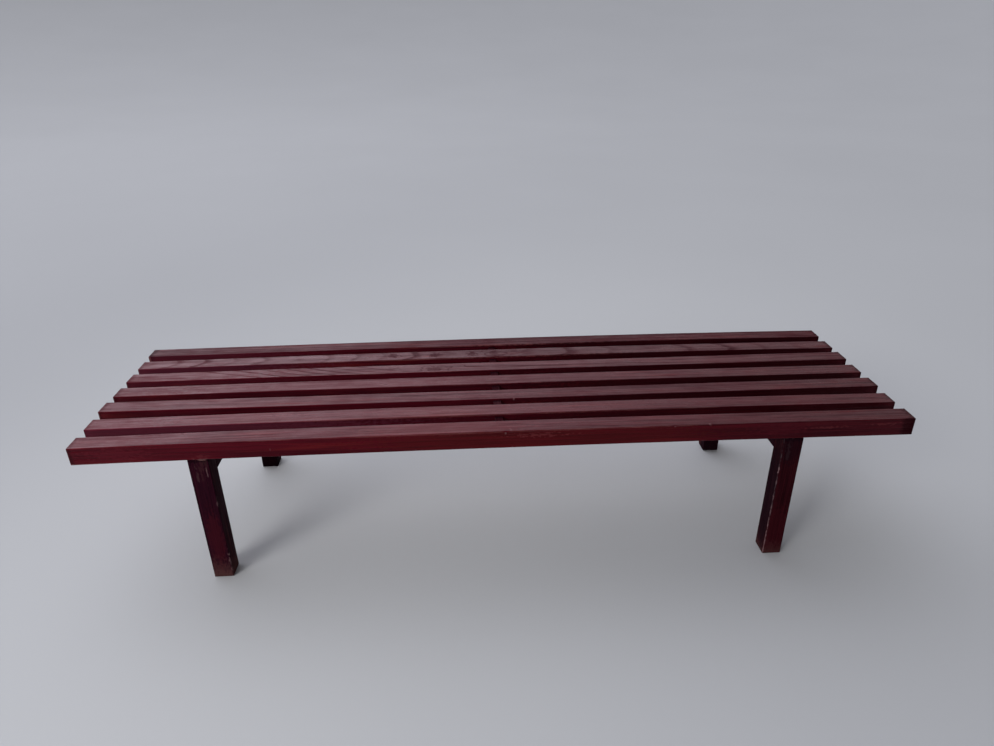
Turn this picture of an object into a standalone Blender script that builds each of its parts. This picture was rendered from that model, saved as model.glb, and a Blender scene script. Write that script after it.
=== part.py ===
"""A low slatted bench: seven long slats on two leg frames, tied at mid-length by spacer blocks on a dowel.

Metres, +Z up. X runs along the bench, the front faces -Y, and the origin is on the floor under the
middle of the bench. Nothing on it moves.
"""
import math

import bmesh
import bpy
from mathutils import Matrix, Vector

# Seat slats
SLAT_COUNT = 7
SLAT_LENGTH = 1.500
SLAT_WIDTH = 0.038
SLAT_THICKNESS = 0.034
SLAT_GAP = 0.0245
SEAT_HEIGHT = 0.300

# Leg frames
LEG_WIDTH = 0.036
LEG_DEPTH = 0.036
LEG_INSET = 0.198
RAIL_WIDTH = 0.036
RAIL_HEIGHT = 0.040

# Joints between rails and legs
TENON_THICKNESS = 0.012
TENON_TOP_SHOULDER = 0.009
TENON_BOTTOM_SHOULDER = 0.006
TENON_COVER = 0.012

# Spacer blocks and the dowel that strings them together
SPACER_LENGTH = 0.015
SPACER_RECESS = 0.003
TIE_DIAMETER = 0.010
TIE_SEAT = 0.022

# Dowels between leg tops and outer slats
LEG_DOWEL_DIAMETER = 0.006
LEG_DOWEL_SEAT = 0.016

# Round-headed slotted wood screws, up through the rails into the inner slats
SCREW_DIAMETER = 0.0045
SCREW_BITE = 0.020
SCREW_POINT = 0.006
SCREW_HEAD_DIAMETER = 0.0085
SCREW_HEAD_HEIGHT = 0.003
SCREW_SLOT_WIDTH = 0.0012
SCREW_SLOT_DEPTH = 0.0012
COUNTERBORE_DIAMETER = 0.011
COUNTERBORE_DEPTH = 0.010

# Eased edges, the gap left at every seat, and how far a cutter runs past a face
EDGE_EASE = 0.001
EASE_SEGMENTS = 2
FIT_GAP = 0.0003
OVERCUT = 0.002
DOWEL_SIDES = 24
SCREW_SIDES = 20
HEAD_ARC_STEPS = 4
SMOOTH_ANGLE = math.radians(40)
SCREW_TURN = math.radians(47)
MERGE_DISTANCE = 0.00001

# Places worked out from the sizes above
SEAT_UNDERSIDE = SEAT_HEIGHT - SLAT_THICKNESS
SLAT_PITCH = SLAT_WIDTH + SLAT_GAP
SEAT_DEPTH = SLAT_COUNT * SLAT_WIDTH + (SLAT_COUNT - 1) * SLAT_GAP
FRAME_X = SLAT_LENGTH / 2 - LEG_INSET - LEG_WIDTH / 2
LEG_Y = SEAT_DEPTH / 2 - LEG_DEPTH / 2
FRAME_TOP = SEAT_UNDERSIDE - FIT_GAP
RAIL_BOTTOM = FRAME_TOP - RAIL_HEIGHT
RAIL_LENGTH = SEAT_DEPTH - 2 * LEG_DEPTH - 2 * FIT_GAP
TENON_LENGTH = LEG_DEPTH - TENON_COVER
TENON_HEIGHT = RAIL_HEIGHT - TENON_TOP_SHOULDER - TENON_BOTTOM_SHOULDER
TENON_Z = RAIL_BOTTOM + TENON_BOTTOM_SHOULDER + TENON_HEIGHT / 2
TIE_Z = SEAT_HEIGHT - SLAT_THICKNESS / 2
TIE_LENGTH = SEAT_DEPTH - 2 * (SLAT_WIDTH - TIE_SEAT)
LEG_DOWEL_OFFSET = (LEG_WIDTH / 2 + TENON_THICKNESS / 2) / 2
SCREW_SEAT_Z = RAIL_BOTTOM + COUNTERBORE_DEPTH
SCREW_LENGTH = SEAT_UNDERSIDE - SCREW_SEAT_Z + SCREW_BITE

SIDES = (("left", -1), ("right", 1))
FACES = (("front", -1), ("back", 1))

for old_object in list(bpy.data.objects):
    bpy.data.objects.remove(old_object, do_unlink=True)

bench = bpy.data.collections.new("slatted_bench")
cutters = bpy.data.collections.new("bench_cutters")
bpy.context.scene.collection.children.link(bench)
bpy.context.scene.collection.children.link(cutters)


def finish(name, colour, roughness, metallic=0.0):
    """One Principled material."""
    material = bpy.data.materials.new(name)
    material.use_nodes = True
    shader = material.node_tree.nodes["Principled BSDF"]
    shader.inputs["Base Color"].default_value = (*colour, 1.0)
    shader.inputs["Roughness"].default_value = roughness
    shader.inputs["Metallic"].default_value = metallic
    return material


SEAT_WOOD = finish("burgundy_seat_wood", (0.060, 0.010, 0.014), 0.45)
FRAME_WOOD = finish("dark_burgundy_frame_wood", (0.030, 0.007, 0.010), 0.50)
SPACER_WOOD = finish("worn_burgundy_spacer_wood", (0.075, 0.020, 0.022), 0.60)
DOWEL_WOOD = finish("plain_beech_dowel", (0.420, 0.270, 0.150), 0.70)
SCREW_STEEL = finish("plated_screw_steel", (0.560, 0.540, 0.500), 0.35, 1.0)


def place(name, mesh, at, material=None):
    """Put a mesh in the bench, or among the cutters when it has no material."""
    piece = bpy.data.objects.new(name, mesh)
    piece.location = at
    if material is None:
        cutters.objects.link(piece)
        piece.hide_render = True
        piece.display_type = "WIRE"
    else:
        bench.objects.link(piece)
        if not mesh.materials:
            mesh.materials.append(material)
    return piece


def block_mesh(name, size):
    """A rectangular block of the given size about its own centre."""
    bm = bmesh.new()
    bmesh.ops.create_cube(bm, size=1.0, matrix=Matrix.Diagonal((*size, 1.0)))
    mesh = bpy.data.meshes.new(name)
    bm.to_mesh(mesh)
    bm.free()
    return mesh


def rod_mesh(name, diameter, length, turn=Matrix.Identity(4)):
    """A round rod about its own centre, along Z unless it is turned."""
    bm = bmesh.new()
    radius = diameter / 2
    bmesh.ops.create_cone(
        bm, cap_ends=True, segments=DOWEL_SIDES, radius1=radius, radius2=radius, depth=length, matrix=turn
    )
    mesh = bpy.data.meshes.new(name)
    bm.to_mesh(mesh)
    bm.free()
    mesh.shade_smooth()
    mesh.set_sharp_from_angle(angle=SMOOTH_ANGLE)
    return mesh


def turned_mesh(name, profile):
    """A turned shape about Z, from (radius, height) points that run from the top down its outer side."""
    bm = bmesh.new()
    points = [bm.verts.new((radius, 0.0, height)) for radius, height in profile]
    for upper, lower in zip(points, points[1:]):
        bm.edges.new((upper, lower))
    outline = bpy.data.meshes.new(name + "_outline")
    bm.to_mesh(outline)
    bm.free()
    blank = bpy.data.objects.new(name + "_blank", outline)
    cutters.objects.link(blank)
    turn = blank.modifiers.new("turn", "SCREW")
    turn.steps = SCREW_SIDES
    turn.render_steps = SCREW_SIDES
    turn.use_merge_vertices = True
    turn.merge_threshold = MERGE_DISTANCE
    return settled_mesh(name, blank)


def settled_mesh(name, blank):
    """The finished mesh of a blank with its modifiers applied; the blank itself is removed."""
    evaluated = blank.evaluated_get(bpy.context.evaluated_depsgraph_get())
    mesh = bpy.data.meshes.new_from_object(evaluated)
    mesh.name = name
    bpy.data.objects.remove(blank, do_unlink=True)
    return mesh


def ease_edges(piece):
    """Rounded arrises, taken off before any joint is cut."""
    ease = piece.modifiers.new("eased edges", "BEVEL")
    ease.width = EDGE_EASE
    ease.segments = EASE_SEGMENTS
    ease.limit_method = "ANGLE"


def cut(piece, cutter, operation="DIFFERENCE"):
    """Cut a joint into a piece, or fuse a shape onto it."""
    joint = piece.modifiers.new(cutter.name, "BOOLEAN")
    joint.operation = operation
    joint.solver = "EXACT"
    joint.object = cutter


# Seat slats, counted from the front
slat_y = [-SEAT_DEPTH / 2 + SLAT_WIDTH / 2 + index * SLAT_PITCH for index in range(SLAT_COUNT)]
slats = []
for index, y in enumerate(slat_y):
    name = f"seat_slat_{index + 1}"
    slat = place(
        name,
        block_mesh(name, (SLAT_LENGTH, SLAT_WIDTH, SLAT_THICKNESS)),
        (0.0, y, SEAT_HEIGHT - SLAT_THICKNESS / 2),
        SEAT_WOOD,
    )
    ease_edges(slat)
    slats.append(slat)

# Spacer blocks, one in each gap at mid-length, just below the seat's surface
spacers = []
for index, y in enumerate(slat_y[:-1]):
    name = f"gap_spacer_{index + 1}"
    spacer = place(
        name,
        block_mesh(name, (SPACER_LENGTH, SLAT_GAP - 2 * FIT_GAP, SLAT_THICKNESS - 2 * SPACER_RECESS)),
        (0.0, y + SLAT_PITCH / 2, TIE_Z),
        SPACER_WOOD,
    )
    spacers.append(spacer)

# Tie dowel: glued through the spacers and inner slats, blind in the two outer slats
along_y = Matrix.Rotation(math.radians(90), 4, "X")
place(
    "tie_dowel",
    rod_mesh("tie_dowel", TIE_DIAMETER, TIE_LENGTH, along_y),
    (0.0, 0.0, TIE_Z),
    DOWEL_WOOD,
)
tie_bore = place(
    "tie_bore",
    rod_mesh("tie_bore", TIE_DIAMETER + 2 * FIT_GAP, TIE_LENGTH + 2 * FIT_GAP, along_y),
    (0.0, 0.0, TIE_Z),
)
for piece in slats + spacers:
    cut(piece, tie_bore)

# Legs: square posts under the outer slats, mortised for the rails and bored for the top dowels
leg_dowel_mesh = rod_mesh("leg_dowel", LEG_DOWEL_DIAMETER, 2 * LEG_DOWEL_SEAT)
leg_bore_mesh = rod_mesh("leg_bore", LEG_DOWEL_DIAMETER + 2 * FIT_GAP, 2 * LEG_DOWEL_SEAT + 2 * FIT_GAP)
mortise_mesh = block_mesh(
    "mortise",
    (TENON_THICKNESS + 2 * FIT_GAP, TENON_LENGTH + 2 * FIT_GAP + OVERCUT, TENON_HEIGHT + 2 * FIT_GAP),
)
for side, x_sign in SIDES:
    for face, y_sign in FACES:
        name = f"leg_{face}_{side}"
        leg_x = x_sign * FRAME_X
        leg_y = y_sign * LEG_Y
        leg = place(
            name,
            block_mesh(name, (LEG_WIDTH, LEG_DEPTH, FRAME_TOP)),
            (leg_x, leg_y, FRAME_TOP / 2),
            FRAME_WOOD,
        )
        ease_edges(leg)
        mortise_y = leg_y - y_sign * (LEG_DEPTH / 2 - TENON_LENGTH / 2 + OVERCUT / 2)
        cut(leg, place(f"mortise_{face}_{side}", mortise_mesh, (leg_x, mortise_y, TENON_Z)))
        outer_slat = slats[0] if y_sign < 0 else slats[-1]
        for position, offset in (("outer", x_sign), ("inner", -x_sign)):
            dowel_at = (leg_x + offset * LEG_DOWEL_OFFSET, leg_y, SEAT_UNDERSIDE)
            place(f"leg_dowel_{face}_{side}_{position}", leg_dowel_mesh, dowel_at, DOWEL_WOOD)
            bore = place(f"leg_bore_{face}_{side}_{position}", leg_bore_mesh, dowel_at)
            cut(leg, bore)
            cut(outer_slat, bore)

# Rail screws: one turned and slotted shape, and the hole that takes it
head_radius = SCREW_HEAD_DIAMETER / 2
shank_radius = SCREW_DIAMETER / 2
head_arc = [math.radians(90) * step / HEAD_ARC_STEPS for step in range(HEAD_ARC_STEPS + 1)]
screw_profile = [(0.0, SCREW_LENGTH), (shank_radius, SCREW_LENGTH - SCREW_POINT), (shank_radius, 0.0)]
screw_profile += [(head_radius * math.cos(angle), -SCREW_HEAD_HEIGHT * math.sin(angle)) for angle in head_arc]
screw_profile[-1] = (0.0, -SCREW_HEAD_HEIGHT)
screw_blank = place("screw_blank", turned_mesh("screw_blank", screw_profile), (0.0, 0.0, 0.0))
screw_slot = place(
    "screw_slot",
    block_mesh("screw_slot", (SCREW_HEAD_DIAMETER + OVERCUT, SCREW_SLOT_WIDTH, 2 * SCREW_SLOT_DEPTH)),
    (0.0, 0.0, -SCREW_HEAD_HEIGHT),
)
cut(screw_blank, screw_slot)
screw_mesh = settled_mesh("rail_screw", screw_blank)
screw_mesh.shade_smooth()
screw_mesh.set_sharp_from_angle(angle=SMOOTH_ANGLE)

bore_radius = shank_radius + FIT_GAP
counterbore_radius = COUNTERBORE_DIAMETER / 2
bore_profile = [
    (0.0, SCREW_LENGTH + FIT_GAP),
    (bore_radius, SCREW_LENGTH - SCREW_POINT + FIT_GAP),
    (bore_radius, FIT_GAP),
    (counterbore_radius, FIT_GAP),
    (counterbore_radius, -COUNTERBORE_DEPTH - OVERCUT),
    (0.0, -COUNTERBORE_DEPTH - OVERCUT),
]
screw_bore_mesh = turned_mesh("screw_bore", bore_profile)

# Cross rails: tenoned into the legs at both ends, screwed up into every inner slat
for side, x_sign in SIDES:
    name = f"cross_rail_{side}"
    rail_x = x_sign * FRAME_X
    rail = place(
        name,
        block_mesh(name, (RAIL_WIDTH, RAIL_LENGTH, RAIL_HEIGHT)),
        (rail_x, 0.0, RAIL_BOTTOM + RAIL_HEIGHT / 2),
        FRAME_WOOD,
    )
    ease_edges(rail)
    tenon_size = (TENON_THICKNESS, RAIL_LENGTH + 2 * TENON_LENGTH, TENON_HEIGHT)
    tenons = place(f"tenons_{side}", block_mesh(f"tenons_{side}", tenon_size), (rail_x, 0.0, TENON_Z))
    cut(rail, tenons, "UNION")
    for index in range(1, SLAT_COUNT - 1):
        screw_at = Vector((rail_x, slat_y[index], SCREW_SEAT_Z))
        screw = place(f"rail_screw_{side}_{index}", screw_mesh, screw_at, SCREW_STEEL)
        screw.rotation_euler.z = SCREW_TURN * index * x_sign
        screw_bore = place(f"screw_bore_{side}_{index}", screw_bore_mesh, screw_at)
        cut(rail, screw_bore)
        cut(slats[index], screw_bore)

# The slot's cutter has done its work on the screw's shape
bpy.data.objects.remove(screw_slot, do_unlink=True)
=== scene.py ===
"""Finished look of a low slatted bench in open-grained hardwood under a dark wine stain.

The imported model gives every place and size. Legs, slats and spacers are modelled again with worn
arrises, joints cut for their neighbours and a grain of their own. Rails, dowels and screws keep
their solids and get their finishes here.
"""
import math

import bmesh
import bpy
from mathutils import Euler, Matrix, Vector, noise


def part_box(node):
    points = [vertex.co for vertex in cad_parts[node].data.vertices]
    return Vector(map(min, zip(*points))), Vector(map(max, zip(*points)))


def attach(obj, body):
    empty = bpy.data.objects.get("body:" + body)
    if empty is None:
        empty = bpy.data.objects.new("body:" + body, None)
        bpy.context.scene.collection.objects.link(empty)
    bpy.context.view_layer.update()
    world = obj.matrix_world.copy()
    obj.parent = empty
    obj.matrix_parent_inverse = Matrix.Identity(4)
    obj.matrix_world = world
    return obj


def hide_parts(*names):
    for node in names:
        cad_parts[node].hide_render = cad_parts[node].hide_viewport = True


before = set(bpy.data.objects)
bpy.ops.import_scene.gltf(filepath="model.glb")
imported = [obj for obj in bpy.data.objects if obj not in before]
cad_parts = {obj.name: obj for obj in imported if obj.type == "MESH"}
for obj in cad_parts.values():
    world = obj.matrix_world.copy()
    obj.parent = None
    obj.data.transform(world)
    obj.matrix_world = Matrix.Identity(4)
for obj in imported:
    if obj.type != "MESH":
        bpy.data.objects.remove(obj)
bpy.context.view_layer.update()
scene = bpy.context.scene


# Legs
# Four square posts of open-grained hardwood, planed, eased at the arrises, stained dark wine and set
# nearly black with painted shade from the seat above.
# Each is dowelled to the outer slat above it, holds a rail's tenon in a mortise and has a scuffed foot.
LEG_ARRIS = 0.0013
LEG_RING_STEP = 0.003
LEG_WEAR_REACH = 0.0026
ARRIS_SEGMENTS = 3
ARRIS_SLACK = 1.01
ARRIS_WANDER = 0.45
ARRIS_WANDER_PACE = 16.0
ARRIS_LOOKUPS = (3.7, 5.3)
ALONG_X, ALONG_Y, ALONG_Z = range(3)
JOINT_PLAY = 0.0002
MERGE_REACH = 0.000005
CREASE_ANGLE = math.radians(40)


def planed_timber(low, high, along, arris, ring_step):
    """A planed length of timber with rounded arrises, ringed every few millimetres along its grain."""
    size = high - low
    timber = bmesh.new()
    place = Matrix.Translation((low + high) / 2) @ Matrix.Diagonal((*size, 1.0))
    bmesh.ops.create_cube(timber, size=1.0, matrix=place)
    bmesh.ops.bevel(
        timber, geom=timber.edges[:], offset=arris, offset_type="OFFSET", affect="EDGES",
        segments=ARRIS_SEGMENTS, profile=0.5, material=-1, clamp_overlap=True,
    )
    lengthwise = []
    for edge in timber.edges:
        run = edge.verts[1].co - edge.verts[0].co
        if abs(run[along]) > size[along] / 2:
            lengthwise.append(edge)
    cuts = round(size[along] / ring_step) - 1
    bmesh.ops.subdivide_edges(timber, edges=lengthwise, cuts=cuts, use_grid_fill=True)
    return timber


def wear_arrises(timber, low, high, along, arris, seed, chips):
    """Works each long arris back unevenly, and further at chips: (sides, place, reach, depth)."""
    across = [axis for axis in range(3) if axis != along]
    for vert in timber.verts:
        faces = []
        for axis in across:
            side = 1 if vert.co[axis] > (low[axis] + high[axis]) / 2 else -1
            face = high[axis] if side > 0 else low[axis]
            faces.append((axis, side, face, abs(face - vert.co[axis])))
        if max(depth for _, _, _, depth in faces) > arris * ARRIS_SLACK:
            continue
        sides = tuple(side for _, side, _, _ in faces)
        place = vert.co[along]
        lookup = Vector((
            place * ARRIS_WANDER_PACE,
            ARRIS_LOOKUPS[0] * sides[0] + seed,
            ARRIS_LOOKUPS[1] * sides[1] - seed,
        ))
        radius = arris * (1.0 + ARRIS_WANDER * noise.noise(lookup))
        for chip_sides, chip_place, chip_reach, chip_depth in chips:
            nearness = 1.0 - ((place - chip_place) / chip_reach) ** 2
            if chip_sides == sides and nearness > 0:
                radius += chip_depth * nearness ** 2
        for axis, side, face, depth in faces:
            vert.co[axis] = face - side * depth * radius / arris


def cut_joints(piece, neighbours):
    """Cuts a piece's mortises and bores with its neighbours' own solids, a little swelled for play."""
    waste = bmesh.new()
    for neighbour in neighbours:
        waste.from_mesh(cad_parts[neighbour].data)
    bmesh.ops.remove_doubles(waste, verts=waste.verts[:], dist=MERGE_REACH)
    waste.normal_update()
    for vert in waste.verts:
        vert.co += vert.normal * JOINT_PLAY
    waste_mesh = bpy.data.meshes.new("waste")
    waste.to_mesh(waste_mesh)
    waste.free()
    cutter = bpy.data.objects.new("waste", waste_mesh)
    scene.collection.objects.link(cutter)
    joints = piece.modifiers.new("joints", "BOOLEAN")
    joints.operation = "DIFFERENCE"
    joints.solver = "EXACT"
    joints.object = cutter
    cut_piece = piece.evaluated_get(bpy.context.evaluated_depsgraph_get())
    uncut_mesh = piece.data
    piece.data = bpy.data.meshes.new_from_object(cut_piece)
    piece.data.name = piece.name
    piece.modifiers.remove(joints)
    bpy.data.meshes.remove(uncut_mesh)
    bpy.data.objects.remove(cutter)
    bpy.data.meshes.remove(waste_mesh)


def finished_board(name, timber, neighbours, material):
    """Makes the modelled timber an object with its joints cut, smooth arrises and its finish."""
    mesh = bpy.data.meshes.new(name)
    timber.to_mesh(mesh)
    timber.free()
    piece = bpy.data.objects.new(name, mesh)
    scene.collection.objects.link(piece)
    cut_joints(piece, neighbours)
    piece.data.materials.clear()
    piece.data.materials.append(material)
    piece.data.shade_smooth()
    piece.data.set_sharp_from_angle(angle=CREASE_ANGLE)
    even = piece.modifiers.new("even shading", "WEIGHTED_NORMAL")
    even.keep_sharp = True
    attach(piece, "root")
    return piece


def node(tree, kind, inputs, **settings):
    """A node with its settings made and its inputs given a value or linked."""
    made = tree.nodes.new(kind)
    for setting, value in settings.items():
        setattr(made, setting, value)
    for socket, value in inputs.items():
        if isinstance(value, bpy.types.NodeSocket):
            tree.links.new(value, made.inputs[socket])
        else:
            made.inputs[socket].default_value = value
    return made


def maths(tree, operation, *values):
    return node(tree, "ShaderNodeMath", dict(enumerate(values)), operation=operation).outputs[0]


def vector_maths(tree, operation, *values):
    made = node(tree, "ShaderNodeVectorMath", dict(enumerate(values)), operation=operation)
    return made.outputs["Value" if operation in ("LENGTH", "DOT_PRODUCT") else "Vector"]


def scaled(tree, vector, factor):
    inputs = {0: vector, "Scale": factor}
    return node(tree, "ShaderNodeVectorMath", inputs, operation="SCALE").outputs[0]


def fade(tree, value, start, end, first=0.0, last=1.0):
    """A value that goes smoothly from first to last as another goes from start to end."""
    inputs = {0: value, 1: start, 2: end, 3: first, 4: last}
    return node(tree, "ShaderNodeMapRange", inputs, interpolation_type="SMOOTHSTEP").outputs[0]


def tint(tree, share, under, over):
    inputs = {0: share, 6: under, 7: over}
    return node(tree, "ShaderNodeMix", inputs, data_type="RGBA").outputs[2]


def fibres(tree, place, pace, detail):
    """Noise drawn out along the grain: pace is how many features a metre holds each way."""
    stretched = vector_maths(tree, "MULTIPLY", place, pace)
    inputs = {"Vector": stretched, "Scale": 1.0, "Detail": detail}
    return node(tree, "ShaderNodeTexNoise", inputs).outputs[0]


def patches(tree, place, pattern, first=0.0, last=1.0):
    """Soft-edged patches of such noise: a pattern is its pace, its detail and the range it fades over."""
    pace, detail, start, end = pattern
    return fade(tree, fibres(tree, place, pace, detail), start, end, first, last)


def own_place(tree, given, stride):
    """Where a board lies in the noise: its own place, moved on by its seed."""
    return vector_maths(tree, "ADD", given["Board"], scaled(tree, stride, given["Seed"]))


def shader_group(name, inputs, outputs):
    """An empty node group with its named sockets, and its two end nodes."""
    tree = bpy.data.node_groups.new(name, "ShaderNodeTree")
    for socket, kind in inputs.items():
        tree.interface.new_socket(name=socket, in_out="INPUT", socket_type="NodeSocket" + kind)
    for socket, kind in outputs.items():
        tree.interface.new_socket(name=socket, in_out="OUTPUT", socket_type="NodeSocket" + kind)
    return tree, tree.nodes.new("NodeGroupInput").outputs, tree.nodes.new("NodeGroupOutput")


CROSS_SECTION = (0.0, 1.0, 1.0)
GRAIN_STRIDE = (0.43, 0.31, 0.57)
NO_SWEEP_END = 1.0
RING_WANDER_NOISE = ((1.7, 5.0, 5.0), 1.0)
RING_WANDER = 0.016
RING_FLUTTER_NOISE = ((9.0, 55.0, 55.0), 2.0)
RING_FLUTTER = 0.0022
NO_KNOT = (0.0, 0.0, 1.0)
KNOT_STRETCH = (0.45, 1.0, 1.0)
KNOT_TWIST_NOISE = ((26.0, 75.0, 75.0), 2.0)
KNOT_TWIST = 1.5
KNOT_LEAST_TWIST = 0.25
KNOT_REACH = 0.030
KNOT_SWELL = 0.012
EARLY_OPENS = (0.0, 0.08)
EARLY_CLOSES = (0.10, 0.40)
SEASON_CONTRAST = 1.6
LEAN_SEASON = 0.15
VESSELS = ((32.0, 950.0, 950.0), 1.0, 0.54, 0.68)
LATE_PORES = 0.3
# Broad, narrow and middling fibre streaks, and the share of each.
STREAKS = (
    (((2.4, 130.0, 130.0), 3.0, 0.38, 0.62), 0.34),
    (((12.0, 520.0, 520.0), 2.0, 0.38, 0.62), 0.28),
    (((6.0, 240.0, 240.0), 2.0, 0.38, 0.62), 0.38),
)


def board_grain_group():
    """Growth rings round a pith that may lie outside the board and round a knot, with fibre streaks."""
    tree, given, result = shader_group(
        "board grain",
        {
            "Board": "Vector", "Pith": "Vector", "Run Out": "Vector", "Sweep": "Vector",
            "Sweep Start": "Float", "Sweep End": "Float", "Ring Width": "Float", "Knot": "Vector",
            "Seed": "Float",
        },
        {"Early": "Float", "Pores": "Float", "Streak": "Float"},
    )
    tree.interface.items_tree["Knot"].default_value = NO_KNOT
    tree.interface.items_tree["Sweep End"].default_value = NO_SWEEP_END
    place = own_place(tree, given, GRAIN_STRIDE)
    along = node(tree, "ShaderNodeSeparateXYZ", {0: given["Board"]}).outputs["X"]
    swept = fade(tree, along, given["Sweep Start"], given["Sweep End"])
    from_pith = vector_maths(tree, "SUBTRACT", given["Board"], given["Pith"])
    from_pith = vector_maths(tree, "SUBTRACT", from_pith, scaled(tree, given["Run Out"], along))
    from_pith = vector_maths(tree, "SUBTRACT", from_pith, scaled(tree, given["Sweep"], swept))
    radius = vector_maths(tree, "LENGTH", vector_maths(tree, "MULTIPLY", from_pith, CROSS_SECTION))
    wander = fibres(tree, place, *RING_WANDER_NOISE)
    flutter = fibres(tree, place, *RING_FLUTTER_NOISE)
    radius = maths(tree, "MULTIPLY_ADD", wander, RING_WANDER, radius)
    radius = maths(tree, "MULTIPLY_ADD", flutter, RING_FLUTTER, radius)
    from_knot = vector_maths(tree, "SUBTRACT", given["Board"], given["Knot"])
    from_knot = vector_maths(tree, "LENGTH", vector_maths(tree, "MULTIPLY", from_knot, KNOT_STRETCH))
    twist = fibres(tree, place, *KNOT_TWIST_NOISE)
    twist = maths(tree, "MULTIPLY_ADD", twist, KNOT_TWIST, KNOT_LEAST_TWIST)
    from_knot = maths(tree, "MULTIPLY", from_knot, twist)
    swell = fade(tree, from_knot, 0.0, KNOT_REACH, KNOT_SWELL, 0.0)
    rings = maths(tree, "DIVIDE", maths(tree, "ADD", radius, swell), given["Ring Width"])
    ring_number = maths(tree, "ADD", maths(tree, "FLOOR", rings), given["Seed"])
    season = node(
        tree, "ShaderNodeTexWhiteNoise", {"W": ring_number}, noise_dimensions="1D",
    ).outputs["Value"]
    season = maths(tree, "POWER", season, SEASON_CONTRAST)
    season = maths(tree, "MULTIPLY_ADD", season, 1.0 - LEAN_SEASON, LEAN_SEASON)
    within = maths(tree, "FRACT", rings)
    opening = fade(tree, within, *EARLY_OPENS)
    closing = fade(tree, within, *EARLY_CLOSES, 1.0, 0.0)
    early = maths(tree, "MULTIPLY", maths(tree, "MULTIPLY", opening, closing), season)
    open_share = maths(tree, "MULTIPLY_ADD", early, 1.0 - LATE_PORES, LATE_PORES)
    pores = maths(tree, "MULTIPLY", patches(tree, place, VESSELS), open_share)
    streak = 0.0
    for pattern, share in STREAKS:
        streak = maths(tree, "MULTIPLY_ADD", patches(tree, place, pattern), share, streak)
    tree.links.new(early, result.inputs["Early"])
    tree.links.new(pores, result.inputs["Pores"])
    tree.links.new(streak, result.inputs["Streak"])
    return tree


WEAR_STRIDE = (0.29, 0.53, 0.41)
WEAR_PATCHES = ((9.0, 60.0, 60.0), 2.0, 0.42, 0.70)
WEAR_EDGE = (0.45, 1.0)
EXPOSED_FACING = (0.55, 0.95)
SHELTERED_WEAR = 0.25
NIBBLE_NOISE = ((160.0, 420.0, 420.0), 2.0)
NIBBLE_CONTRAST = 2.2
NIBBLE_LEAST = -0.2
LEAST_REACH = 0.00001
SOAK_NOISE = ((14.0, 170.0, 170.0), 2.0)
SOAK_CONTRAST = 0.030
SOAK_LEAST = -0.006
SOAK_EDGE = (0.40, 1.0)


def worn_edges_group():
    """Wear along a board's arrises, most on the side named, and stain soaked in at its end grain."""
    tree, given, result = shader_group(
        "worn edges",
        {
            "Board": "Vector", "Half Size": "Vector", "Worn Side": "Vector", "Reach": "Float",
            "Seed": "Float",
        },
        {"Arris": "Float", "End": "Float"},
    )
    place = own_place(tree, given, WEAR_STRIDE)
    from_middle = vector_maths(tree, "ABSOLUTE", given["Board"])
    depth = vector_maths(tree, "SUBTRACT", given["Half Size"], from_middle)
    depths = node(tree, "ShaderNodeSeparateXYZ", {0: depth}).outputs
    nearer = maths(tree, "MINIMUM", depths["X"], depths["Y"])
    further = maths(tree, "MAXIMUM", depths["X"], depths["Y"])
    to_arris = maths(tree, "MAXIMUM", nearer, maths(tree, "MINIMUM", further, depths["Z"]))
    outwards = vector_maths(tree, "MULTIPLY", given["Board"], CROSS_SECTION)
    outwards = vector_maths(tree, "NORMALIZE", outwards)
    facing = vector_maths(tree, "DOT_PRODUCT", outwards, given["Worn Side"])
    exposed = fade(tree, facing, *EXPOSED_FACING, SHELTERED_WEAR, 1.0)
    reach = maths(tree, "MULTIPLY", patches(tree, place, WEAR_PATCHES), exposed)
    reach = maths(tree, "MULTIPLY", reach, given["Reach"])
    nibbles = fibres(tree, place, *NIBBLE_NOISE)
    nibbles = maths(tree, "MULTIPLY_ADD", nibbles, NIBBLE_CONTRAST, NIBBLE_LEAST)
    ragged = maths(tree, "MULTIPLY", reach, nibbles)
    share = maths(tree, "DIVIDE", to_arris, maths(tree, "ADD", ragged, LEAST_REACH))
    arris = fade(tree, share, *WEAR_EDGE, 1.0, 0.0)
    soak = fibres(tree, place, *SOAK_NOISE)
    soak = maths(tree, "MULTIPLY_ADD", soak, SOAK_CONTRAST, SOAK_LEAST)
    end = fade(tree, maths(tree, "DIVIDE", depths["X"], soak), *SOAK_EDGE, 1.0, 0.0)
    tree.links.new(arris, result.inputs["Arris"])
    tree.links.new(end, result.inputs["End"])
    return tree


SCUFF_LINES = ((24.0, 800.0, 800.0), 3.0, 0.34, 0.66)
SCUFF_BLOTCHES = ((130.0, 260.0, 260.0), 3.0, 0.34, 0.66)
SCUFF_LINE_SHARE = 0.5
SCUFF_MEAN = 0.75
SCUFF_EDGE = 0.45


def scuff_group():
    """One mark rubbed into the finish: a spot of the size given, ragged and broken up along the fibres."""
    tree, given, result = shader_group(
        "scuff",
        {"Board": "Vector", "Place": "Vector", "Size": "Vector", "Break": "Float"},
        {"Mark": "Float"},
    )
    offset = vector_maths(tree, "SUBTRACT", given["Board"], given["Place"])
    distance = vector_maths(tree, "LENGTH", vector_maths(tree, "DIVIDE", offset, given["Size"]))
    inside = maths(tree, "SUBTRACT", 1.0, distance)
    lines = patches(tree, given["Board"], SCUFF_LINES)
    blotches = patches(tree, given["Board"], SCUFF_BLOTCHES)
    breaks = maths(tree, "MULTIPLY_ADD", lines, SCUFF_LINE_SHARE, blotches)
    breaks = maths(tree, "SUBTRACT", breaks, SCUFF_MEAN)
    broken = maths(tree, "MULTIPLY_ADD", breaks, given["Break"], inside)
    tree.links.new(fade(tree, broken, 0.0, SCUFF_EDGE), result.inputs["Mark"])
    return tree


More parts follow.
